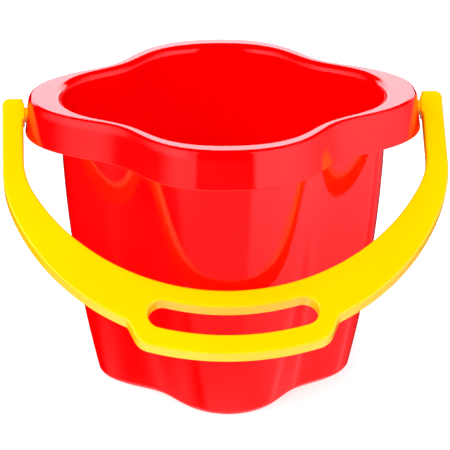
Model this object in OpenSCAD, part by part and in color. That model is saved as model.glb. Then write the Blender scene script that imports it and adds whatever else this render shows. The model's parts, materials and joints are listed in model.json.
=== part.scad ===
// Child's sand bucket: a flower-shaped bucket with a bail handle that snaps into its rim.
// Millimetres, +Z up. The origin is the middle of the flat underside; the handle pivots on the X axis
// direction and hangs towards -Y.
// Plan outlines are radii that swing in and out with the angle round the bucket: four lobes and four
// hollows between them.

/* [Bucket] */
// Height from the underside to the top of the rim
bucket_h = 137.5; // [120:0.5:160]
// Mean radius of the side wall at the underside
base_r = 51.9; // [48:0.1:54]
// How far the lobes stand out from that mean, and the hollows in
base_lobe = 7.1; // [4:0.1:8]
// Mean radius of the mouth, where the inside meets the flat rim
mouth_r = 72.8; // [70:0.1:74]
// How far the lobes of the mouth stand out
mouth_lobe = 6.1; // [4:0.1:7]
// How much the tips of the mouth's lobes are flattened
mouth_flat = 1.2; // [0:0.1:2]
// Thickness of the side wall
wall = 1.8; // [1.5:0.1:2.2]
// Thickness of the bottom
floor_t = 2.2; // [1.8:0.1:3]
// Radius that rounds the bottom edge
base_round = 2.5; // [2:0.5:4]
// Radius that rounds the inside into the flat rim
mouth_round = 3.9; // [3:0.1:4.5]

/* [Rim] */
// Mean radius of the outer edge of the rim
rim_r = 79.4; // [78:0.1:82]
// How far the lobes of the rim stand out
rim_lobe = 9.2; // [7:0.1:9.5]
// How much the tips of the rim's lobes are flattened
rim_flat = 1.05; // [0:0.05:1.5]
// How much further out the two side lobes reach than the mean of all four
rim_side = 2.45; // [1.5:0.05:3]
// Height of the skirt that hangs from the rim
skirt_h = 18; // [16:0.5:22]
// How much wider the skirt is at its bottom edge
skirt_flare = 1.8; // [1:0.1:2.4]
// Thickness of the rim and of its skirt
rim_t = 2; // [1.8:0.1:2.4]
// Radius that rounds the rim's outer top edge
rim_round = 1.3; // [0.8:0.1:1.8]

/* [Handle] */
// Depth of the pivot under the top of the rim
pivot_drop = 9.4; // [8.5:0.1:10]
// Angle between the resting handle and straight down, where it leans on the bucket
rest_tilt = 49.8; // [49.8:0.1:60]
// Thickness of the handle, front to back
handle_t = 8; // [7:0.5:9]
// Width of the arms at the pivots
arm_w = 9.6; // [8:0.1:12]
// Length of the arms past the pivots
arm_end = 7; // [6:0.5:8]
// Distance from the pivots to the inner edge in the middle of the handle
reach = 96.2; // [95.5:0.1:110]
// Radius of the bow's inner edge
bow_in_r = 99.8; // [98:0.1:104]
// Radius of the bow's outer edge
bow_out_r = 104.6; // [104:0.1:108]
// Width of the bow in the middle
bow_w = 25.2; // [22:0.1:27]
// Width of the grip, which stands out beyond the bow
grip_w = 32; // [30:0.1:36]
// Length of the grip along its straight chord
grip_len = 93; // [84:0.5:100]
// Width of the finger slot
slot_w = 13.6; // [12:0.1:16]
// Length of the finger slot
slot_len = 76.6; // [66:0.1:80]
// Width of the bar between the slot and the inner edge
slot_bar = 8.7; // [7:0.1:10]

/* [Snap pins] */
// Diameter of the pins that turn in the rim
pin_d = 7; // [6:0.1:7.4]
// Clearance all round a pin in its hole
pin_clear = 0.08; // [0.02:0.01:0.1]
// How far the pins' snap heads stand out past the pins
snap = 0.6; // [0.4:0.1:0.8]
// Width of the lead-in bevel over each pin hole
bevel_w = 15.5; // [12:0.5:18]

/* [Handle back] */
// Thickness of the handle's front face and rails
handle_wall = 2; // [1.6:0.1:2.4]
// Thickness of the ribs across the hollow back
rib_t = 1.4; // [1.2:0.1:2]
// Angle between two ribs
rib_step = 16; // [10:1:20]

/* [Hidden] */

// Steps round the bucket, up its wall and round each rounded edge
around = 64;
wall_steps = 6;
edge_steps = 3;
// Radius that rounds the inside bottom edge
floor_round = base_round - 0.8;

// The rim's side lobes, and what must pass or clear them
rim_reach = rim_r + rim_lobe - rim_flat + rim_side;
skirt_reach = rim_reach + skirt_flare;
pivot_z = bucket_h - pivot_drop;
arm_gap = 0.7;
arm_in = skirt_reach + arm_gap;
arm_out = arm_in + arm_w;

// The arms' inner pads stop this far short of the skirt
pad_clear = 0.35;
pad_len = 9;
skirt_at_pad = rim_reach + skirt_flare * (pivot_drop + norm([pad_len, handle_t]) / 2) / skirt_h;
pad_face = skirt_at_pad + pad_clear;

// Bosses that thicken the skirt round the pin holes, and the pins' snap heads behind them
boss_d = 13;
boss_face = rim_reach - 4.5;
boss_root = rim_reach - 0.1;
head_gap = 0.35;
head_len = 2.4;

// Lead-in bevel over each pin hole: in from the rim's edge, and down the skirt
bevel_in = 1.6;
bevel_drop = 4.4;

// The handle is drawn flat: x across, y away from the pivots
bow_in_y = reach - bow_in_r;
bow_out_y = reach + bow_w - bow_out_r;
grip_r = bow_in_r + grip_w;
slot_mid_r = bow_in_r + slot_bar + slot_w / 2;
blend_in = 40;
blend_out = 60;
grip_round = 9;
grip_notch = 3;
grip_slant = 23;
end_round = 3.5;
corner_round = 1.2;
fine = 120;
slot_steps = 16;
far = 400;

// Radius of a plan outline at angle a: mean, height of the lobes, flattening of their tips
function flower(mean, lobe, flat, a) = mean + lobe * cos(4 * a) - flat * cos(8 * a);

// Outer edge of the rim; the side lobes, which carry the handle, reach further than the others
function rim_edge(a) =
    flower(rim_r, rim_lobe, rim_flat, a) + rim_side * (0.6 * cos(2 * a) + 0.4 * cos(6 * a));

// Inner edge of the flat rim
function mouth_edge(a) = flower(mouth_r, mouth_lobe, mouth_flat, a);

// Outside of the side wall at height z: it leaves the base steeply and ends upright under the rim
function wall_out(a, z) =
    let (s = z / bucket_h, f = s * (2 - s))
    (1 - f) * flower(base_r, base_lobe, 0, a) + f * (mouth_edge(a) - mouth_round + wall);

// Outside of the skirt at height z
function skirt_out(a, z) = rim_edge(a) + skirt_flare * (bucket_h - z) / skirt_h;

// The bucket's section at angle a, as points [radius, height], from the underside up the outside,
// over the rim and down the inside
function section(a) =
    let (
        under = bucket_h - rim_t,
        hem = bucket_h - skirt_h,
        deep = bucket_h - mouth_round
    )
    [
        for (i = [0:edge_steps])
            let (t = 90 * i / edge_steps, z = base_round * (1 - cos(t)))
            [wall_out(a, z) - base_round * (1 - sin(t)), z],
        for (i = [1:wall_steps])
            let (z = base_round + (under - base_round) * i / wall_steps)
            [wall_out(a, z), z],
        [skirt_out(a, under) - rim_t, under],
        [skirt_out(a, hem) - rim_t, hem],
        [skirt_out(a, hem), hem],
        for (i = [0:edge_steps])
            let (t = 90 * i / edge_steps, z = bucket_h - rim_round * (1 - sin(t)))
            [skirt_out(a, z) - rim_round * (1 - cos(t)), z],
        for (i = [0:edge_steps])
            let (t = 90 * i / edge_steps, z = bucket_h - mouth_round * (1 - cos(t)))
            [mouth_edge(a) - mouth_round * sin(t), z],
        for (i = [1:wall_steps])
            let (z = deep + (floor_t + floor_round - deep) * i / wall_steps)
            [wall_out(a, z) - wall, z],
        for (i = [1:edge_steps])
            let (t = 90 * i / edge_steps, z = floor_t + floor_round * (1 - sin(t)))
            [wall_out(a, z) - wall - floor_round * (1 - cos(t)), z]
    ];

// A closed solid from the sections of all angles; its two ends are flat faces
module swept() {
    sections = [for (i = [0:around - 1]) section(360 * i / around)];
    n = len(sections);
    m = len(sections[0]);
    polyhedron(
        points = [
            for (j = [0:m - 1]) for (i = [0:n - 1])
                let (a = 360 * i / n, p = sections[i][j])
                [p[0] * cos(a), p[0] * sin(a), p[1]]
        ],
        faces = [
            [for (i = [0:n - 1]) i],
            for (j = [0:m - 2]) for (i = [0:n - 1])
                let (k = (i + 1) % n, low = j * n, high = low + n)
                each [[low + i, high + i, high + k], [low + i, high + k, low + k]],
            [for (i = [n - 1:-1:0]) (m - 1) * n + i]
        ]
    );
}

// Round bar along X on the pivot axis, from x = from to x = to
module pivot_bar(from, to, r_from, r_to) {
    translate([from, 0, 0])
        rotate([0, 90, 0])
            cylinder(h = to - from, r1 = r_from, r2 = r_to, $fn = 96);
}

// Wedge that bevels the rim's edge, so that a pin can be pushed over it into its hole
module bevel() {
    top_x = rim_reach - bevel_in;
    low_x = skirt_reach;
    slope = (low_x - top_x) / bevel_drop;
    rotate([90, 0, 0])
        linear_extrude(bevel_w, center = true)
            polygon([
                [top_x - slope, bucket_h + 1],
                [low_x, bucket_h - bevel_drop],
                [low_x + 5, bucket_h - bevel_drop],
                [low_x + 5, bucket_h + 1]
            ]);
}

module bucket() color("red") {
    difference() {
        union() {
            swept();
            for (side = [0, 1])
                mirror([side, 0, 0])
                    translate([0, 0, pivot_z])
                        pivot_bar(boss_face, boss_root, boss_d / 2, boss_d / 2);
        }
        for (side = [0, 1])
            mirror([side, 0, 0]) {
                translate([0, 0, pivot_z])
                    pivot_bar(boss_face - 1, skirt_reach + 1, pin_d / 2 + pin_clear, pin_d / 2 + pin_clear);
                bevel();
            }
    }
}

// The space between the arms: straight beside the pivots, then round
module bow_inside() {
    offset(r = blend_in, $fn = fine)
        offset(delta = -blend_in)
            intersection() {
                translate([0, bow_in_y])
                    circle(bow_in_r, $fn = fine);
                square([2 * arm_in, far], center = true);
            }
}

// Everything inside the handle's outer edge, without the grip
module bow_outside() {
    offset(r = end_round, $fn = 32)
        offset(delta = -end_round)
            intersection() {
                offset(r = blend_out, $fn = fine)
                    offset(delta = -blend_out)
                        intersection() {
                            translate([0, bow_out_y])
                                circle(bow_out_r, $fn = fine);
                            translate([-arm_out, -far / 2])
                                square([2 * arm_out, far]);
                        }
                translate([-far / 2, -arm_end])
                    square(far);
            }
}

// The grip, which stands out beyond the bow with slanted, rounded ends
module grip_outside() {
    offset(r = grip_round, $fn = 48)
        offset(delta = -grip_round)
            intersection() {
                translate([0, bow_in_y])
                    circle(grip_r, $fn = fine);
                y = reach + grip_w / 2;
                slope = tan(grip_slant);
                polygon([
                    [-grip_len / 2 - slope * y, 0],
                    [grip_len / 2 + slope * y, 0],
                    [grip_len / 2 - slope * (far - y), far],
                    [-grip_len / 2 + slope * (far - y), far]
                ]);
            }
}

// The finger slot, which follows the bow and has round ends
module slot() {
    turn = asin((slot_len - slot_w) / 2 / slot_mid_r);
    function on_arc(r, a) = [r * sin(a), bow_in_y + r * cos(a)];
    polygon([
        for (i = [-slot_steps:slot_steps])
            on_arc(slot_mid_r + slot_w / 2, turn * i / slot_steps),
        for (i = [1:slot_steps - 1])
            let (t = turn + 180 * i / slot_steps)
            on_arc(slot_mid_r, turn) + slot_w / 2 * [sin(t), cos(t)],
        for (i = [slot_steps:-1:-slot_steps])
            on_arc(slot_mid_r - slot_w / 2, turn * i / slot_steps),
        for (i = [1:slot_steps - 1])
            let (t = 180 - turn + 180 * i / slot_steps)
            on_arc(slot_mid_r, -turn) + slot_w / 2 * [sin(t), cos(t)]
    ]);
}

// The whole handle, seen flat
module handle_outline() {
    difference() {
        offset(r = corner_round, $fn = 16)
            offset(delta = -corner_round)
                offset(r = -grip_notch, $fn = 32)
                    offset(delta = grip_notch)
                        difference() {
                            union() {
                                bow_outside();
                                grip_outside();
                            }
                            bow_inside();
                        }
        slot();
    }
}

// Hollow back between the rails, with ribs across it and solid ends round the pins
module back_pocket() {
    translate([0, 0, handle_wall - handle_t / 2])
        linear_extrude(handle_t)
            difference() {
                offset(delta = -handle_wall)
                    handle_outline();
                for (a = [-5 * rib_step:rib_step:5 * rib_step])
                    translate([0, bow_in_y])
                        rotate(a)
                            translate([-rib_t / 2, 0])
                                square([rib_t, far]);
                square([far, pad_len + 6], center = true);
            }
}

// One pin with its snap head, and the pad that keeps the arm off the skirt
module pin() {
    head_x = boss_face - head_gap;
    translate([pad_face, -pad_len / 2, -handle_t / 2])
        cube([arm_in + 1 - pad_face, pad_len, handle_t]);
    pivot_bar(head_x - 0.01, arm_in + 1, pin_d / 2, pin_d / 2);
    pivot_bar(head_x - head_len, head_x, pin_d / 2 - 0.6, pin_d / 2 + snap);
}

module handle() color("gold") {
    translate([0, 0, pivot_z])
        rotate([270 - rest_tilt, 0, 0]) {
            difference() {
                translate([0, 0, -handle_t / 2])
                    linear_extrude(handle_t)
                        handle_outline();
                back_pocket();
            }
            for (side = [0, 1])
                mirror([side, 0, 0])
                    pin();
        }
}

bucket();
handle();
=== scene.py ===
"""Sand bucket with a bail handle: the looks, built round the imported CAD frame.

The bucket and the handle are modelled again here as finely rounded mouldings, from the same rules as the
CAD model, in millimetres. They are scaled to metres when each mesh is made.
"""
import json
import math

import bmesh
import bpy
import numpy as np
from mathutils import Matrix, Vector


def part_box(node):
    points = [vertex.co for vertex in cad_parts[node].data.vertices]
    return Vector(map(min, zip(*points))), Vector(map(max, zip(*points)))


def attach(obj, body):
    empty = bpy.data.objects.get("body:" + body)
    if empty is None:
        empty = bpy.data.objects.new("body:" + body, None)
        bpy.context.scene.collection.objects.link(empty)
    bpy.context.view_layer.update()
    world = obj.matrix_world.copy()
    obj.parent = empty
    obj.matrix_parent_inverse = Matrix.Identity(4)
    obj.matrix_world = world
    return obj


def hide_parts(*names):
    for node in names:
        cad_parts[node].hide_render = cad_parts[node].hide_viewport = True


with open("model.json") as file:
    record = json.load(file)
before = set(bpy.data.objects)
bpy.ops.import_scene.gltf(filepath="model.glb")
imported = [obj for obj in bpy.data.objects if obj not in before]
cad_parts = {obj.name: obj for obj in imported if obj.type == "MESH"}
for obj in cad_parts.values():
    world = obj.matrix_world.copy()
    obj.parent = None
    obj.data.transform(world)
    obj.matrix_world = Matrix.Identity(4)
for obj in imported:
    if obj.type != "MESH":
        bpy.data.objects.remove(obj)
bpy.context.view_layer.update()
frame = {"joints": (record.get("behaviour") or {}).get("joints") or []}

MM = 0.001
SLIVER = 2e-6  # metres; anything narrower is left over from cutting

# ---------------------------------------------------------------- sizes, in millimetres

bucket_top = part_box("bucket")[1].z
BUCKET_H = bucket_top / MM
PIVOT_Z = frame["joints"][0]["pos_m"][2] / MM

# plan outlines: mean radius, height of the lobes, flattening of their tips; RIM_SIDE is how much wider the
# side lobes are, and how much narrower the front and back ones
BASE_R, BASE_LOBE = 51.9, 7.1
MOUTH_R, MOUTH_LOBE, MOUTH_FLAT = 72.8, 6.1, 1.2
RIM_R, RIM_LOBE, RIM_FLAT, RIM_SIDE = 79.4, 9.2, 1.05, 2.45
BROAD = 0.6  # share of RIM_SIDE that swells a whole side; the rest gathers it on the lobe
# thicknesses, then the radii of the outside edges and of the inside corners
WALL, FLOOR_T, RIM_T = 1.8, 2.2, 2.0
BASE_ROUND, MOUTH_ROUND, RIM_ROUND, HEM_ROUND = 2.5, 3.9, 1.3, 0.9
FLOOR_ROUND, UNDER_ROUND, SKIRT_ROUND = 1.7, 1.2, 0.8
# the skirt flares down to its hem and eases in towards the rim by SHOULDER, over its top SHOULDER_H
SKIRT_H, SKIRT_FLARE = 18.0, 1.8
SHOULDER, SHOULDER_H = 0.65, 5.0
RIM_REACH = RIM_R + RIM_LOBE - RIM_FLAT + RIM_SIDE
SKIRT_REACH = RIM_REACH + SKIRT_FLARE
# the moulding gate's dimple and nub under the bucket: radius and height of each ring, from the middle out
GATE_R = 6.5
GATE = ((0.9, 0.35), (1.2, 0.5), (1.3, 0.85), (5.2, 0.85), (5.7, 0.65), (6.2, 0.12), (GATE_R, 0))

# lead-in bevels in the side lobes, the bosses behind the skirt, and the pins that turn in them
BEVEL_W, BEVEL_IN, BEVEL_DROP = 15.5, 1.6, 4.4
BOSS_R, BOSS_FACE, BOSS_ROOT, BOSS_EDGE = 6.5, RIM_REACH - 4.5, RIM_REACH - 0.1, 0.4
PIN_R, PIN_CLEAR, SNAP = 3.5, 0.08, 0.6
HEAD_GAP, HEAD_LEN = 0.35, 2.4
# the pin's snap head: how far in from its shoulder each ring lies, and its radius beyond the pin's
HEAD_TIP = ((HEAD_LEN, -1), (HEAD_LEN - 0.15, -0.7))
HEAD_BARB = ((0.3, SNAP - 0.05), (0.05, SNAP), (0, SNAP - 0.1), (-0.01, 0))

# the handle: its tilt at rest in degrees, its arms, its bow, its grip and the slot in the grip
REST_TILT = 49.8
HANDLE_T, ARM_W, ARM_END, ARM_GAP = 8.0, 9.6, 7.0, 0.7
ARM_IN = SKIRT_REACH + ARM_GAP
ARM_OUT = ARM_IN + ARM_W
REACH, BOW_IN_R, BOW_OUT_R, BOW_W = 96.2, 99.8, 104.6, 25.2
GRIP_W, GRIP_LEN, GRIP_SLANT = 32.0, 93.0, math.radians(23)
SLOT_W, SLOT_LEN, SLOT_BAR = 13.6, 76.6, 8.7
BLEND_IN, BLEND_OUT, GRIP_ROUND, GRIP_NOTCH = 40.0, 60.0, 9.0, 3.0
END_ROUND, CORNER_ROUND = 3.5, 1.2
EDGE_FRONT, EDGE_BACK = 1.2, 0.4
# its hollow back: RIBS_EACH_SIDE ribs on each side of the middle one, RIB_STEP degrees apart
HANDLE_WALL, RIB_T, RIB_BELOW, RIBS_EACH_SIDE, RIB_STEP = 2.0, 1.4, 0.3, 5, 16
# the pads that keep the arms off the skirt, a hair slimmer than the arm, with solid plastic round them
PAD_LEN, PAD_CLEAR, PAD_SHY, PAD_MARGIN = 9.0, 0.35, 0.02, 3.0
OVERRUN = 1.0  # how far a cutting solid runs past what it cuts, and a pin or pad into its arm
# edges that turn by more degrees than this stay sharp
BUCKET_SHARP, HANDLE_SHARP = 32, 38

# ---------------------------------------------------------------- meshes


def new_object(name, data):
    """An object in the scene for a mesh, a light or a camera."""
    made = bpy.data.objects.new(name, data)
    bpy.context.scene.collection.objects.link(made)
    return made


def from_points(name, points, faces):
    """A mesh object from points in millimetres."""
    mesh = bpy.data.meshes.new(name)
    mesh.from_pydata([tuple(p) for p in np.asarray(points) * MM], [], faces)
    mesh.validate()
    return new_object(name, mesh)


def from_bmesh(name, bm):
    """A mesh object from a bmesh in metres, its faces pointing outwards."""
    bmesh.ops.recalc_face_normals(bm, faces=bm.faces)
    mesh = bpy.data.meshes.new(name)
    bm.to_mesh(mesh)
    bm.free()
    return new_object(name, mesh)


def quads(rings, per):
    """Faces between neighbouring rings of points, each ring closed and with per points in it."""
    faces = []
    for j in range(rings - 1):
        for i in range(per):
            k = (i + 1) % per
            faces.append((j * per + i, j * per + k, (j + 1) * per + k, (j + 1) * per + i))
    return faces


def capped_quads(rings, per):
    """The same, with a flat face on the first ring and on the last one."""
    last = (rings - 1) * per
    return [*quads(rings, per), tuple(range(per)), tuple(reversed(range(last, last + per)))]


def recalculate(piece):
    """Points all faces outwards."""
    bm = bmesh.new()
    bm.from_mesh(piece.data)
    bmesh.ops.recalc_face_normals(bm, faces=bm.faces)
    bm.to_mesh(piece.data)
    bm.free()


def combine(piece, tools, operation):
    """Adds the tools to the piece, or cuts them from it, and removes them."""
    for tool in tools:
        recalculate(tool)
        cut = piece.modifiers.new(operation, "BOOLEAN")
        cut.operation = operation
        cut.solver = "EXACT"
        cut.object = tool
    apply_modifiers(piece)
    for tool in tools:
        bpy.data.objects.remove(tool)


def apply_modifiers(piece):
    """Replaces the piece's mesh by what its modifiers make of it."""
    bpy.context.view_layer.update()
    shown = piece.evaluated_get(bpy.context.evaluated_depsgraph_get())
    made = bpy.data.meshes.new_from_object(shown)
    piece.modifiers.clear()
    old = piece.data
    piece.data = made
    bpy.data.meshes.remove(old)


def clean(piece):
    """Splits the faces with many corners into triangles, and dissolves the slivers that cutting leaves."""
    bm = bmesh.new()
    bm.from_mesh(piece.data)
    bmesh.ops.holes_fill(bm, edges=[e for e in bm.edges if e.is_boundary])
    # dissolving a sliver gives its neighbour another corner, so the two steps take turns
    for _ in range(4):
        bmesh.ops.dissolve_degenerate(bm, dist=SLIVER, edges=bm.edges)
        bmesh.ops.triangulate(bm, faces=[f for f in bm.faces if len(f.verts) > 4])
    bm.to_mesh(piece.data)
    bm.free()


def shade(piece, sharp):
    """Smooth faces with sharp edges where they turn by more than sharp degrees, flat faces kept flat."""
    mesh = piece.data
    mesh.shade_smooth()
    mesh.set_sharp_from_angle(angle=math.radians(sharp))
    keep_flat = piece.modifiers.new("flat faces stay flat", "WEIGHTED_NORMAL")
    keep_flat.keep_sharp = True
    keep_flat.weight = 80
    apply_modifiers(piece)


def lathe_x(name, profile, steps=64):
    """A closed solid round the X axis from points [x, radius]; its ends are closed by flat discs."""
    turns = np.arange(steps) * 2 * math.pi / steps
    points = [(x, r * math.cos(t), r * math.sin(t)) for x, r in profile for t in turns]
    return from_points(name, points, capped_quads(len(profile), steps))


# ---------------------------------------------------------------- bucket


def flower(mean, lobe, flat, a):
    """Radius of a plan outline at angle a: mean, height of the lobes, flattening of their tips."""
    return mean + lobe * np.cos(4 * a) - flat * np.cos(8 * a)


def rim_edge(a):
    """Radius of the rim's outside at angle a, with the side lobes wider than the front and back ones."""
    side = RIM_SIDE * (BROAD * np.cos(2 * a) + (1 - BROAD) * np.cos(6 * a))
    return flower(RIM_R, RIM_LOBE, RIM_FLAT, a) + side


def mouth_edge(a):
    """Radius at angle a where the flat rim starts to round into the mouth."""
    return flower(MOUTH_R, MOUTH_LOBE, MOUTH_FLAT, a)


def wall_out(a, z):
    """Radius of the wall's outside, which leans out most near the base."""
    rise = z / BUCKET_H
    share = rise * (2 - rise)
    return (1 - share) * flower(BASE_R, BASE_LOBE, 0, a) + share * (mouth_edge(a) - MOUTH_ROUND + WALL)


def skirt_out(a, z):
    """Radius of the skirt's outside."""
    shoulder = SHOULDER * max(0, 1 - (BUCKET_H - z) / SHOULDER_H) ** 2
    return rim_edge(a) + SKIRT_FLARE * (BUCKET_H - z) / SKIRT_H - shoulder


def quarter(steps):
    """Angles from 0 to a right angle."""
    return [math.pi / 2 * i / steps for i in range(steps + 1)]


def bucket_section(a):
    """Rings [radius, height] from the middle of the underside, up the outside, over the rim and down the
    inside to the middle of the floor, for all angles a at once."""
    rings = []

    def ring(radius, height):
        rings.append((np.broadcast_to(radius, a.shape), np.full(a.shape, float(height))))

    under = BUCKET_H - RIM_T
    hem = BUCKET_H - SKIRT_H
    # underside
    for radius, height in GATE:
        ring(radius, height)
    foot = wall_out(a, 0) - BASE_ROUND
    for share in (0.25, 0.55, 0.8, 0.93, 0.99):
        ring(GATE_R + (foot - GATE_R) * share, 0)
    for t in quarter(7):
        z = BASE_ROUND * (1 - math.cos(t))
        ring(wall_out(a, z) - BASE_ROUND * (1 - math.sin(t)), z)
    # side wall, then the underside of the rim, with a small radius in each inside corner
    wall_top = under - UNDER_ROUND
    for z in np.linspace(BASE_ROUND, wall_top, 34)[1:]:
        ring(wall_out(a, z), z)
    for t in quarter(4)[1:]:
        ring(wall_out(a, wall_top) + UNDER_ROUND * (1 - math.cos(t)), wall_top + UNDER_ROUND * math.sin(t))
    skirt_in = skirt_out(a, under) - RIM_T
    inner = wall_out(a, wall_top) + UNDER_ROUND
    for share in (0.1, 0.5, 0.9):
        ring(inner + (skirt_in - SKIRT_ROUND - inner) * share, under)
    for t in quarter(4):
        z = under - SKIRT_ROUND * (1 - math.cos(t))
        ring(skirt_out(a, z) - RIM_T - SKIRT_ROUND * (1 - math.sin(t)), z)
    # skirt, down its inside, round its hem and up its outside, with close rings where it eases in
    for z in np.linspace(under - SKIRT_ROUND, hem + HEM_ROUND, 9)[1:]:
        ring(skirt_out(a, z) - RIM_T, z)
    for t in quarter(4)[1:]:
        z = hem + HEM_ROUND * (1 - math.sin(t))
        ring(skirt_out(a, hem) - RIM_T + HEM_ROUND * (1 - math.cos(t)), z)
    for t in quarter(4):
        z = hem + HEM_ROUND * (1 - math.cos(t))
        ring(skirt_out(a, hem) - HEM_ROUND * (1 - math.sin(t)), z)
    eased = BUCKET_H - SHOULDER_H - 0.1
    lower = np.linspace(hem + HEM_ROUND, eased, 6)[1:]
    upper = np.linspace(eased, BUCKET_H - RIM_ROUND, 15)[1:-1]
    for z in [*lower, *upper]:
        ring(skirt_out(a, z), z)
    for t in quarter(8):
        z = BUCKET_H - RIM_ROUND * (1 - math.sin(t))
        ring(skirt_out(a, z) - RIM_ROUND * (1 - math.cos(t)), z)
    # flat rim and the round into the mouth
    outer = skirt_out(a, BUCKET_H) - RIM_ROUND
    for share in (0.02, 0.1, 0.5, 0.9, 0.98):
        ring(outer + (mouth_edge(a) - outer) * share, BUCKET_H)
    for t in quarter(12):
        ring(mouth_edge(a) - MOUTH_ROUND * math.sin(t), BUCKET_H - MOUTH_ROUND * (1 - math.cos(t)))
    # inside
    deep = BUCKET_H - MOUTH_ROUND
    for z in np.linspace(deep, FLOOR_T + FLOOR_ROUND, 34)[1:]:
        ring(wall_out(a, z) - WALL, z)
    for t in quarter(6)[1:]:
        z = FLOOR_T + FLOOR_ROUND * (1 - math.sin(t))
        ring(wall_out(a, z) - WALL - FLOOR_ROUND * (1 - math.cos(t)), z)
    inside = wall_out(a, FLOOR_T) - WALL - FLOOR_ROUND
    for share in (0.99, 0.93, 0.8, 0.55, 0.25, 0.08):
        ring(inside * share, FLOOR_T)
    return np.array(rings)


def bevel_plane(z):
    """How far out the lead-in bevel lets the rim reach at height z."""
    return RIM_REACH - BEVEL_IN + (BUCKET_H - z) * (SKIRT_REACH - RIM_REACH + BEVEL_IN) / BEVEL_DROP


def column_angles(count=480, step=0.25):
    """Even angles round the bucket, with a close pair at each side of each bevel, and the angle from the
    middle of a bevel to between a pair."""
    half = math.degrees(math.asin(BEVEL_W / 2 / RIM_REACH))
    pairs = []
    for middle in (0, 180):
        for side in (-1, 1):
            pairs += [(middle + side * half) % 360, (middle + side * (half + step)) % 360]
    even = [360 * i / count for i in range(count)]
    kept = [e for e in even if min(abs(e - p) for p in pairs) > step]
    return np.radians(sorted(kept + pairs)), math.radians(half + step / 2)


def bucket_shell():
    """The bucket as one surface of rings, with the bevels pressed in."""
    a, bevel_half = column_angles()
    rings = bucket_section(a)
    radius, height = rings[:, 0], rings[:, 1]
    x, y = radius * np.cos(a), radius * np.sin(a)
    in_bevel = (np.abs(np.sin(a)) < math.sin(bevel_half))[None, :] & (height > BUCKET_H - BEVEL_DROP)
    cut = in_bevel & (np.abs(x) > bevel_plane(height))
    x = np.where(cut, np.sign(x) * bevel_plane(height), x)
    per, last = len(a), (len(rings) - 1) * len(a)
    points = np.stack([x, y, height], axis=2).reshape(-1, 3).tolist()
    under_middle, floor_middle = len(points), len(points) + 1
    points += [[0, 0, height[0, 0]], [0, 0, height[-1, 0]]]
    faces = quads(len(rings), per)
    for i in range(per):
        k = (i + 1) % per
        faces.append((k, i, under_middle))
        faces.append((last + i, last + k, floor_middle))
    bucket = from_points("bucket_moulding", points, faces)
    recalculate(bucket)
    return bucket


def at_pivots(name, profile):
    """A turned solid on the pivots' axis at each side, from points [distance out, radius]."""
    made = [lathe_x(name, [(side * out, r) for out, r in profile]) for side in (1, -1)]
    for tool in made:
        tool.data.transform(Matrix.Translation((0, 0, PIVOT_Z * MM)))
    return made


def make_bucket():
    """The shell, with a boss behind the skirt at each pivot and a hole through both for the pin."""
    boss = ((BOSS_FACE, BOSS_R - BOSS_EDGE), (BOSS_FACE + BOSS_EDGE, BOSS_R), (BOSS_ROOT, BOSS_R))
    hole = ((BOSS_FACE - OVERRUN, PIN_R + PIN_CLEAR), (SKIRT_REACH + OVERRUN, PIN_R + PIN_CLEAR))
    bucket = bucket_shell()
    combine(bucket, at_pivots("boss", boss), "UNION")
    combine(bucket, at_pivots("hole", hole), "DIFFERENCE")
    clean(bucket)
    shade(bucket, BUCKET_SHARP)
    return bucket


# ---------------------------------------------------------------- handle, drawn flat
# x runs across, y away from the pivots, z from the front face to the back. An outline is a chain of
# points, each with its outward normal: arcs that touch in the same direction, with straight stretches
# between them.


def arc_points(cx, cy, r, start, end, chord=1.0):
    """Points and outward normals along one arc, angles from +x; a negative radius makes a hollow one."""
    steps = max(4, math.ceil(abs(end - start) * abs(r) / chord))
    out = []
    for i in range(steps + 1):
        t = start + (end - start) * i / steps
        n = (math.cos(t), math.sin(t))
        out.append(((cx + abs(r) * n[0], cy + abs(r) * n[1]), n if r > 0 else (-n[0], -n[1])))
    return out


SAME = 1e-6  # points closer than this, in millimetres, are one point


def dense(chain, closed=True, longest=2.0):
    """Fills straight stretches between arcs with points no further apart than longest."""
    out = []
    count = len(chain)
    for i in range(count if closed else count - 1):
        (p, n), (q, _) = chain[i], chain[(i + 1) % count]
        gap = math.dist(p, q)
        if gap < SAME:
            continue
        out.append((p, n))
        extra = int(gap // longest)
        for k in range(1, extra + 1):
            f = k / (extra + 1)
            out.append(((p[0] + (q[0] - p[0]) * f, p[1] + (q[1] - p[1]) * f), n))
    if not closed:
        out.append(chain[-1])
    return out


def mirrored(chain):
    """The same chain on the other side of x = 0, in the opposite order."""
    return [((-p[0], p[1]), (-n[0], n[1])) for p, n in reversed(chain)]


def where_circle_meets_line(cy, r, normal, offset):
    """The upper right point at distance r from (0, cy) on the line normal . p = offset."""
    d = offset - normal[1] * cy
    foot = (normal[0] * d, cy + normal[1] * d)
    along = math.sqrt(r * r - d * d)
    return foot[0] - normal[1] * along, foot[1] + normal[0] * along


bow_in_y = REACH - BOW_IN_R
bow_out_y = REACH + BOW_W - BOW_OUT_R
grip_r = BOW_IN_R + GRIP_W
slot_mid_r = BOW_IN_R + SLOT_BAR + SLOT_W / 2


def inner_edge():
    """Right half of the inner edge, from the arm's end to the middle of the bow."""
    bx = ARM_IN - BLEND_IN
    by = bow_in_y + math.sqrt((BOW_IN_R - BLEND_IN) ** 2 - bx ** 2)
    turn = math.atan2(by - bow_in_y, bx)
    cx, cy = ARM_IN + CORNER_ROUND, CORNER_ROUND - ARM_END
    corner = arc_points(cx, cy, CORNER_ROUND, -math.pi / 2, -math.pi, chord=0.3)
    blend = arc_points(bx, by, -BLEND_IN, 0, turn)
    bow = arc_points(0, bow_in_y, -BOW_IN_R, turn, math.pi / 2)
    return corner, blend + bow


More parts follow.
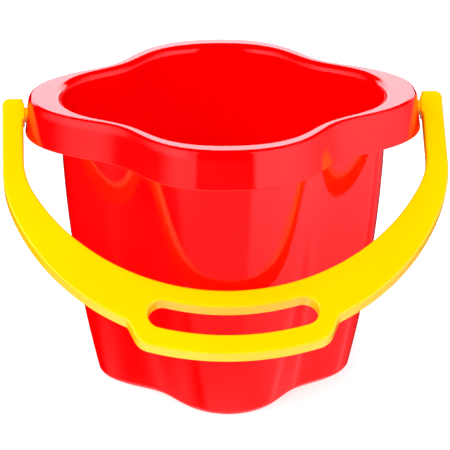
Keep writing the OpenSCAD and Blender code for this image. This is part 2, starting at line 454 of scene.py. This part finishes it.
def outer_edge():
    """Right half of the outer edge, from the middle of the grip to the arm's end."""
    slant = (math.cos(GRIP_SLANT), math.sin(GRIP_SLANT))
    offset = slant[0] * GRIP_LEN / 2 + slant[1] * (REACH + GRIP_W / 2)
    gx, gy = where_circle_meets_line(bow_in_y, grip_r - GRIP_ROUND, slant, offset - GRIP_ROUND)
    nx, ny = where_circle_meets_line(bow_out_y, BOW_OUT_R + GRIP_NOTCH, slant, offset + GRIP_NOTCH)
    bx = ARM_OUT - BLEND_OUT
    by = bow_out_y + math.sqrt((BOW_OUT_R - BLEND_OUT) ** 2 - bx ** 2)
    grip_turn = math.atan2(gy - bow_in_y, gx)
    notch_turn = math.atan2(ny - bow_out_y, nx)
    blend_turn = math.atan2(by - bow_out_y, bx)
    grip = arc_points(0, bow_in_y, grip_r, math.pi / 2, grip_turn)
    shoulder = arc_points(gx, gy, GRIP_ROUND, grip_turn, GRIP_SLANT, chord=0.8)
    notch = arc_points(nx, ny, -GRIP_NOTCH, GRIP_SLANT + math.pi, notch_turn + math.pi, chord=0.5)
    bow = arc_points(0, bow_out_y, BOW_OUT_R, notch_turn, blend_turn)
    blend = arc_points(bx, by, BLEND_OUT, blend_turn, 0)
    corner = arc_points(ARM_OUT - END_ROUND, END_ROUND - ARM_END, END_ROUND, 0, -math.pi / 2, chord=0.5)
    return grip + shoulder + notch + bow + blend, corner


def handle_outline():
    """The whole outside of the handle, from the middle of the grip round to it again."""
    outer, end = outer_edge()
    corner, inner = inner_edge()
    right = outer + end + corner + inner
    return dense(right + mirrored(right))


def slot_outline():
    """The edge of the slot in the grip, from the middle of its far side round to it again."""
    turn = math.asin((SLOT_LEN - SLOT_W) / 2 / slot_mid_r)
    up = math.pi / 2
    cx, cy = slot_mid_r * math.sin(turn), bow_in_y + slot_mid_r * math.cos(turn)
    far_side = arc_points(0, bow_in_y, slot_mid_r + SLOT_W / 2, up, up - turn)
    round_end = arc_points(cx, cy, SLOT_W / 2, up - turn, up - turn - math.pi, chord=0.5)
    near_side = arc_points(0, bow_in_y, -(slot_mid_r - SLOT_W / 2), up - turn, up)
    right = far_side + round_end + near_side
    return dense(right + mirrored(right))


def moved_in(chain, distance):
    """The chain's points moved against their normals."""
    return [(p[0] - n[0] * distance, p[1] - n[1] * distance) for p, n in chain]


def edge_rings(chain, into):
    """Rings [points, height] round one edge of the handle, from its front face to its back face.
    into is 1 where the material is on the inner side of the chain and -1 where it is on the outer side."""
    front, back = -HANDLE_T / 2, HANDLE_T / 2
    rings = []
    for t in quarter(6):
        inset = EDGE_FRONT * (1 - math.sin(t))
        rings.append((moved_in(chain, into * inset), front + EDGE_FRONT * (1 - math.cos(t))))
    for t in quarter(3):
        inset = EDGE_BACK * (1 - math.cos(t))
        rings.append((moved_in(chain, into * inset), back - EDGE_BACK * (1 - math.sin(t))))
    return rings


def add_walls(bm, rings):
    """Adds the faces between neighbouring rings [points, height]; returns the edges of the first ring and
    of the last one."""
    loops = [[bm.verts.new((x * MM, y * MM, z * MM)) for x, y in points] for points, z in rings]
    count = len(loops[0])
    for low, high in zip(loops, loops[1:]):
        for i in range(count):
            k = (i + 1) % count
            bm.faces.new((low[i], low[k], high[k], high[i]))
    ends = (loops[0], loops[-1])
    return [[bm.edges.get((loop[i], loop[(i + 1) % count])) for i in range(count)] for loop in ends]


def fill_flat(bm, edges):
    """Adds a flat face inside the edges, as triangles; a second loop of edges in it is a hole."""
    bmesh.ops.triangle_fill(bm, use_beauty=True, use_dissolve=False, edges=edges)


def make_plate():
    """The solid handle without its hollow back: both edges as rings, both faces filled flat."""
    bm = bmesh.new()
    front, back = add_walls(bm, edge_rings(handle_outline(), 1))
    slot_front, slot_back = add_walls(bm, edge_rings(slot_outline(), -1))
    fill_flat(bm, front + slot_front)
    fill_flat(bm, back + slot_back)
    return from_bmesh("handle_moulding", bm)


def prism(name, outline, low, high):
    """A closed solid over a flat outline, from z = low to z = high."""
    bm = bmesh.new()
    for edges in add_walls(bm, [(outline, low), (outline, high)]):
        fill_flat(bm, edges)
    return from_bmesh(name, bm)


def pocket_cutter():
    """What the hollow back takes away: the band between the rails, less the slot's wall and the ribs."""
    outer, _ = outer_edge()
    _, inner = inner_edge()
    foot = PAD_LEN / 2 + PAD_MARGIN
    half_out = dense([*outer, ((ARM_OUT, foot), (1, 0))], closed=False)
    half_in = dense([((ARM_IN, foot), (-1, 0)), *inner], closed=False)
    right = moved_in(half_out, HANDLE_WALL) + moved_in(half_in, HANDLE_WALL)
    left = [(-x, y) for x, y in reversed(right)]
    bottom = HANDLE_WALL - HANDLE_T / 2
    cutter = prism("pocket", right + left[1:-1], bottom, HANDLE_T)
    wall_outline = moved_in(slot_outline(), -HANDLE_WALL)
    wall = prism("slot wall", wall_outline, bottom - OVERRUN, HANDLE_T + OVERRUN)
    rib = [(-RIB_T / 2, 0), (RIB_T / 2, 0), (RIB_T / 2, 2 * BOW_IN_R), (-RIB_T / 2, 2 * BOW_IN_R)]
    ribs = []
    for k in range(-RIBS_EACH_SIDE, RIBS_EACH_SIDE + 1):
        solid = prism("rib", rib, bottom - OVERRUN, HANDLE_T / 2 - RIB_BELOW)
        turn = Matrix.Rotation(math.radians(k * RIB_STEP), 4, "Z")
        solid.data.transform(Matrix.Translation((0, bow_in_y * MM, 0)) @ turn)
        ribs.append(solid)
    recalculate(cutter)
    combine(cutter, [wall, *ribs], "DIFFERENCE")
    return cutter


def make_pins():
    """Each arm's pin with its snap head, and the pad that keeps the arm off the skirt."""
    pad_low = BUCKET_H - PIVOT_Z + math.hypot(PAD_LEN, HANDLE_T) / 2  # below the rim, as it swings past
    pad_face = RIM_REACH + SKIRT_FLARE * pad_low / SKIRT_H + PAD_CLEAR
    head = BOSS_FACE - HEAD_GAP
    profile = [(head - inward, PIN_R + more) for inward, more in HEAD_TIP + HEAD_BARB]
    profile.append((ARM_IN + OVERRUN, PIN_R))
    pieces = []
    for side in (1, -1):
        pieces.append(lathe_x("pin", [(side * x, r) for x, r in profile]))
        pieces.append(rounded_block("pad", side * pad_face, side * (ARM_IN + OVERRUN)))
    return pieces


def rounded_block(name, x0, x1, corner=0.8, edge=0.35):
    """A pad across the arm from x0, its free face, to x1, with rounded corners and a rounded free edge."""
    half_y, half_z = PAD_LEN / 2, HANDLE_T / 2 - PAD_SHY
    inward = 1 if x1 > x0 else -1
    layers = []
    for t in reversed(quarter(3)):
        layers.append((x0 + inward * edge * (1 - math.sin(t)), edge * (1 - math.cos(t))))
    layers.append((x1, 0))
    points = []
    for x, inset in layers:
        for cy, cz, start in ((1, 1, 0), (-1, 1, 90), (-1, -1, 180), (1, -1, 270)):
            for t in quarter(4):
                turn = math.radians(start) + t
                y = cy * (half_y - corner) + (corner - inset) * math.cos(turn)
                z = cz * (half_z - corner) + (corner - inset) * math.sin(turn)
                points.append((x, y, z))
    return from_points(name, points, capped_quads(len(layers), len(points) // len(layers)))


def make_handle():
    """The handle at rest: made flat, then tilted about its pivots to lie on the front of the rim."""
    handle = make_plate()
    combine(handle, [pocket_cutter()], "DIFFERENCE")
    combine(handle, make_pins(), "UNION")
    clean(handle)
    shade(handle, HANDLE_SHARP)
    tilt = Matrix.Rotation(math.radians(270 - REST_TILT), 4, "X")
    handle.data.transform(Matrix.Translation((0, 0, PIVOT_Z * MM)) @ tilt)
    return handle


# ---------------------------------------------------------------- materials
# Colours are linear. Patches are noise, in waves per metre; a swell or a grain is (waves per metre, depth
# in metres). The base is the plain colour under the patches.

PLASTIC_IOR = 1.49
NOISE_RANGE = (0.3, 0.7)  # where nearly all of a noise node's values lie
FLOOR_GLOW = 0.5
FLOOR_FAR = (0.6, 2.2)  # metres out from the bucket over which the glow doubles


def shader(name, base, roughness):
    """A new plastic: returns the material, its node tree and its Principled shader."""
    made = bpy.data.materials.new(name)
    made.use_nodes = True
    tree = made.node_tree
    bsdf = tree.nodes["Principled BSDF"]
    bsdf.inputs["Base Color"].default_value = (*base, 1)
    bsdf.inputs["Roughness"].default_value = roughness
    bsdf.inputs["IOR"].default_value = PLASTIC_IOR
    return made, tree, bsdf


def noise(tree, scale, detail, roughness=0.5):
    """Noise over the object's own coordinates, in metres; scale is in waves per metre."""
    place = tree.nodes.new("ShaderNodeTexCoord")
    made = tree.nodes.new("ShaderNodeTexNoise")
    made.inputs["Scale"].default_value = scale
    made.inputs["Detail"].default_value = detail
    made.inputs["Roughness"].default_value = roughness
    tree.links.new(place.outputs["Object"], made.inputs["Vector"])
    return made.outputs["Fac"]


def spread(tree, value, low, high, to_low, to_high, curve="LINEAR"):
    """Maps value from low..high to to_low..to_high."""
    made = tree.nodes.new("ShaderNodeMapRange")
    made.interpolation_type = curve
    for key, number in (("From Min", low), ("From Max", high), ("To Min", to_low), ("To Max", to_high)):
        made.inputs[key].default_value = number
    tree.links.new(value, made.inputs["Value"])
    return made.outputs["Result"]


def fade(tree, value, start, end):
    """0 up to start, 1 from end on, smooth in between; start may be the larger one."""
    if start < end:
        return spread(tree, value, start, end, 0, 1, "SMOOTHSTEP")
    return spread(tree, value, end, start, 1, 0, "SMOOTHSTEP")


def calculate(tree, operation, *values):
    """One Math node; each value is a number or another node's output."""
    made = tree.nodes.new("ShaderNodeMath")
    made.operation = operation
    for socket, value in zip(made.inputs, values):
        if isinstance(value, (int, float)):
            socket.default_value = value
        else:
            tree.links.new(value, socket)
    return made.outputs["Value"]


def mix_colour(tree, share, first, second):
    """The first colour where share is 0 and the second where it is 1."""
    made = tree.nodes.new("ShaderNodeMix")
    made.data_type = "RGBA"
    made.inputs["A"].default_value = (*first, 1)
    made.inputs["B"].default_value = (*second, 1)
    tree.links.new(share, made.inputs["Factor"])
    return made.outputs["Result"]


def bumps(tree, bsdf, layers):
    """Chains bumps, each (height value, depth in metres), into the shader's normal."""
    last = None
    for height, depth in layers:
        made = tree.nodes.new("ShaderNodeBump")
        made.inputs["Strength"].default_value = 1.0
        made.inputs["Distance"].default_value = depth
        tree.links.new(height, made.inputs["Height"])
        if last:
            tree.links.new(last, made.inputs["Normal"])
        last = made.outputs["Normal"]
    tree.links.new(last, bsdf.inputs["Normal"])


def plastic(name, base, tones, tone_patches, roughness, gloss_patches, swell, grain):
    """A moulded plastic whose colour and gloss drift a little, over a faint swell and a fine grain."""
    made, tree, bsdf = shader(name, base, sum(roughness) / 2)
    tone = spread(tree, noise(tree, tone_patches, 3), *NOISE_RANGE, 0, 1)
    tree.links.new(mix_colour(tree, tone, *tones), bsdf.inputs["Base Color"])
    gloss = spread(tree, noise(tree, gloss_patches, 4, 0.6), *NOISE_RANGE, *roughness)
    tree.links.new(gloss, bsdf.inputs["Roughness"])
    bumps(tree, bsdf, [(noise(tree, swell[0], 1), swell[1]), (noise(tree, grain[0], 2), grain[1])])
    return made


def red_plastic():
    """The bucket's glossy red."""
    return plastic(
        "glossy red plastic",
        base=(0.93, 0.0, 0.0),
        tones=((0.95, 0.0, 0.0), (0.91, 0.0, 0.001)),
        tone_patches=18,
        roughness=(0.06, 0.1),
        gloss_patches=60,
        swell=(35, 0.00004),
        grain=(1500, 0.000002),
    )


def yellow_plastic():
    """The handle's warm yellow, less glossy than the bucket."""
    return plastic(
        "satin yellow plastic",
        base=(0.98, 0.49, 0.0),
        tones=((0.98, 0.505, 0.0), (0.97, 0.48, 0.0)),
        tone_patches=22,
        roughness=(0.17, 0.23),
        gloss_patches=80,
        swell=(30, 0.00003),
        grain=(1800, 0.000003),
    )


def floor_finish():
    """A matt, pale finish that glows a little, and more so far out."""
    made, tree, bsdf = shader("pale floor", (0.9, 0.9, 0.9), 0.8)
    bsdf.inputs["Specular IOR Level"].default_value = 0.1
    bsdf.inputs["Emission Color"].default_value = (1, 1, 1, 1)
    place = tree.nodes.new("ShaderNodeTexCoord")
    away = tree.nodes.new("ShaderNodeVectorMath")
    away.operation = "LENGTH"
    tree.links.new(place.outputs["Object"], away.inputs[0])
    far = fade(tree, away.outputs["Value"], *FLOOR_FAR)
    glow = calculate(tree, "MULTIPLY_ADD", far, FLOOR_GLOW, FLOOR_GLOW)
    tree.links.new(glow, bsdf.inputs["Emission Strength"])
    tree.links.new(spread(tree, noise(tree, 3, 2), *NOISE_RANGE, 0.75, 0.85), bsdf.inputs["Roughness"])
    return made


def dress(piece, material):
    """Gives the piece this material alone."""
    piece.data.materials.clear()
    piece.data.materials.append(material)


# ---------------------------------------------------------------- the object

bucket = make_bucket()
dress(bucket, red_plastic())
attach(bucket, "bucket")
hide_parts("bucket")

handle = make_handle()
dress(handle, yellow_plastic())
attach(handle, "handle")
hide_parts("handle")

# ---------------------------------------------------------------- camera

CAMERA_AWAY = 1.3910  # metres from the middle of the rim
CAMERA_UP, CAMERA_YAW, CAMERA_ROLL = math.radians(17.879), math.radians(-3.0296), math.radians(0.17)
FOCAL = 6.6729  # focal length as a multiple of the sensor's width
SENSOR_W = 36  # millimetres
OFF_RIGHT, OFF_UP = -0.000666, 0.044351  # tangents of the turn that puts the rim off the picture's middle


def make_camera():
    """Looks at the rim from in front, a little to the left and from above."""
    level = math.cos(CAMERA_UP)
    back = Vector((math.sin(CAMERA_YAW) * level, -math.cos(CAMERA_YAW) * level, math.sin(CAMERA_UP)))
    data = bpy.data.cameras.new("camera")
    data.sensor_width = SENSOR_W
    data.lens = FOCAL * SENSOR_W
    data.clip_start = 0.01
    camera = new_object("camera", data)
    turn = (-back).to_track_quat("-Z", "Y").to_matrix()
    for angle, axis in ((-CAMERA_ROLL, "Z"), (-math.atan(OFF_UP), "X"), (math.atan(OFF_RIGHT), "Y")):
        turn = turn @ Matrix.Rotation(angle, 3, axis)
    place = Vector((0, 0, bucket_top)) + back * CAMERA_AWAY
    camera.matrix_world = Matrix.Translation(place) @ turn.to_4x4()
    bpy.context.scene.camera = camera


make_camera()

# ---------------------------------------------------------------- floor and light

FLOOR_HALF, FLOOR_STEPS = 4.0, 8  # half the floor's side in metres, and squares along each side

# What the gloss mirrors, as soft panels in degrees: brightness, then where each of its four edges starts
# and is full. The bearing is 0 in front, +90 on the right; the height is 0 at the horizon.
PANELS = (
    ("right panel", 1.32, (19, 26), (124, 60), (-50, -2), (54, 46)),
    ("right far wall", 0.28, (70, 100), (165, 140), (-32, -18), (20, 14)),
    ("left panel", 0.76, (-92, -56), (-31, -36), (-28, -12), (50, 42)),
    ("left panel's bright top", 0.7, (-118, -90), (-42, -52), (-10, 0), (50, 42)),
    ("table", 0.28, (-76, -57), (126, 118), (-90, -80), (-15, -20)),
    ("table at the left", 0.25, (-179, -165), (-70, -112), (-90, -80), (-33, -41)),
    ("table at the right", 0.32, (104, 122), (179, 170), (-75, -55), (-26, -38)),
    ("floor close by", 0.58, (-20, -10), (380, 370), (-100, -95), (-44, -56)),
    ("back wall", 2.7, (140, 146), (220, 214), (9, 12), (28, 24)),
)
SKY_SEEN = 1.05  # brightness of the room where the camera sees it directly
PANEL_TINT = (0.97, 0.985, 1.07)

# large area lights that only light matt surfaces: name, place, width and height in metres, and radiance in
# watts per square metre and steradian
FILLS = (
    ("overhead fill", (-0.2, -0.5, 1.4), 2.6, 2.4, 2.0),
    ("left fill", (-1.5, -1.1, 0.45), 1.5, 1.0, 2.3),
    ("right fill", (1.3, -1.7, 0.45), 1.5, 1.0, 0.6),
    ("front fill", (0, -2.2, 0.5), 1.6, 1.0, 1.2),
)
FILL_AIM = Vector((0, 0, 0.1))


def make_floor():
    """A square of floor round the object, in even squares."""
    coords = np.linspace(-FLOOR_HALF, FLOOR_HALF, FLOOR_STEPS + 1)
    points = [(x, y, 0) for y in coords for x in coords]
    row = len(coords)
    corners = [j * row + i for j in range(FLOOR_STEPS) for i in range(FLOOR_STEPS)]
    faces = [(c, c + 1, c + row + 1, c + row) for c in corners]
    floor = from_points("floor", np.array(points) / MM, faces)
    dress(floor, floor_finish())
    floor.visible_glossy = False  # the gloss mirrors the panels below the horizon instead


def make_world():
    """A dark room with soft panels round it, which the camera sees as plain and pale."""
    world = bpy.data.worlds.new("studio")
    world.use_nodes = True
    tree = world.node_tree
    place = tree.nodes.new("ShaderNodeTexCoord")
    axes = tree.nodes.new("ShaderNodeSeparateXYZ")
    tree.links.new(place.outputs["Generated"], axes.inputs["Vector"])
    x, y, z = axes.outputs
    bearing = calculate(tree, "DEGREES", calculate(tree, "ARCTAN2", x, calculate(tree, "MULTIPLY", y, -1)))
    behind = calculate(tree, "WRAP", bearing, 360, 0)  # the same bearing, for panels that cross 180
    height = calculate(tree, "DEGREES", calculate(tree, "ARCSINE", z))
    total = 0
    for _, level, left, right, low, high in PANELS:
        across = behind if max(left + right) > 180 else bearing
        share = calculate(tree, "MULTIPLY", fade(tree, across, *left), fade(tree, across, *right))
        upright = calculate(tree, "MULTIPLY", fade(tree, height, *low), fade(tree, height, *high))
        share = calculate(tree, "MULTIPLY", share, upright)
        total = calculate(tree, "MULTIPLY_ADD", share, level, total)
    rays = tree.nodes.new("ShaderNodeLightPath")
    unseen = calculate(tree, "SUBTRACT", 1, rays.outputs["Is Camera Ray"])
    seen = calculate(tree, "MULTIPLY", rays.outputs["Is Camera Ray"], SKY_SEEN)
    strength = calculate(tree, "MULTIPLY_ADD", unseen, total, seen)
    sky = tree.nodes["Background"]
    sky.inputs["Color"].default_value = (*PANEL_TINT, 1)
    tree.links.new(strength, sky.inputs["Strength"])
    bpy.context.scene.world = world


def fill_light(name, place, width, height, radiance):
    """One of the area lights in FILLS."""
    data = bpy.data.lights.new(name, "AREA")
    data.shape = "RECTANGLE"
    data.size, data.size_y = width, height
    data.energy = radiance * math.pi * width * height
    data.cycles.use_multiple_importance_sampling = False
    light = new_object(name, data)
    light.location = place
    light.rotation_mode = "QUATERNION"
    light.rotation_quaternion = (FILL_AIM - Vector(place)).to_track_quat("-Z", "Y")
    light.visible_glossy = False
    light.visible_camera = False


make_floor()
make_world()
for fill in FILLS:
    fill_light(*fill)
bpy.context.scene.view_settings.view_transform = "Standard"
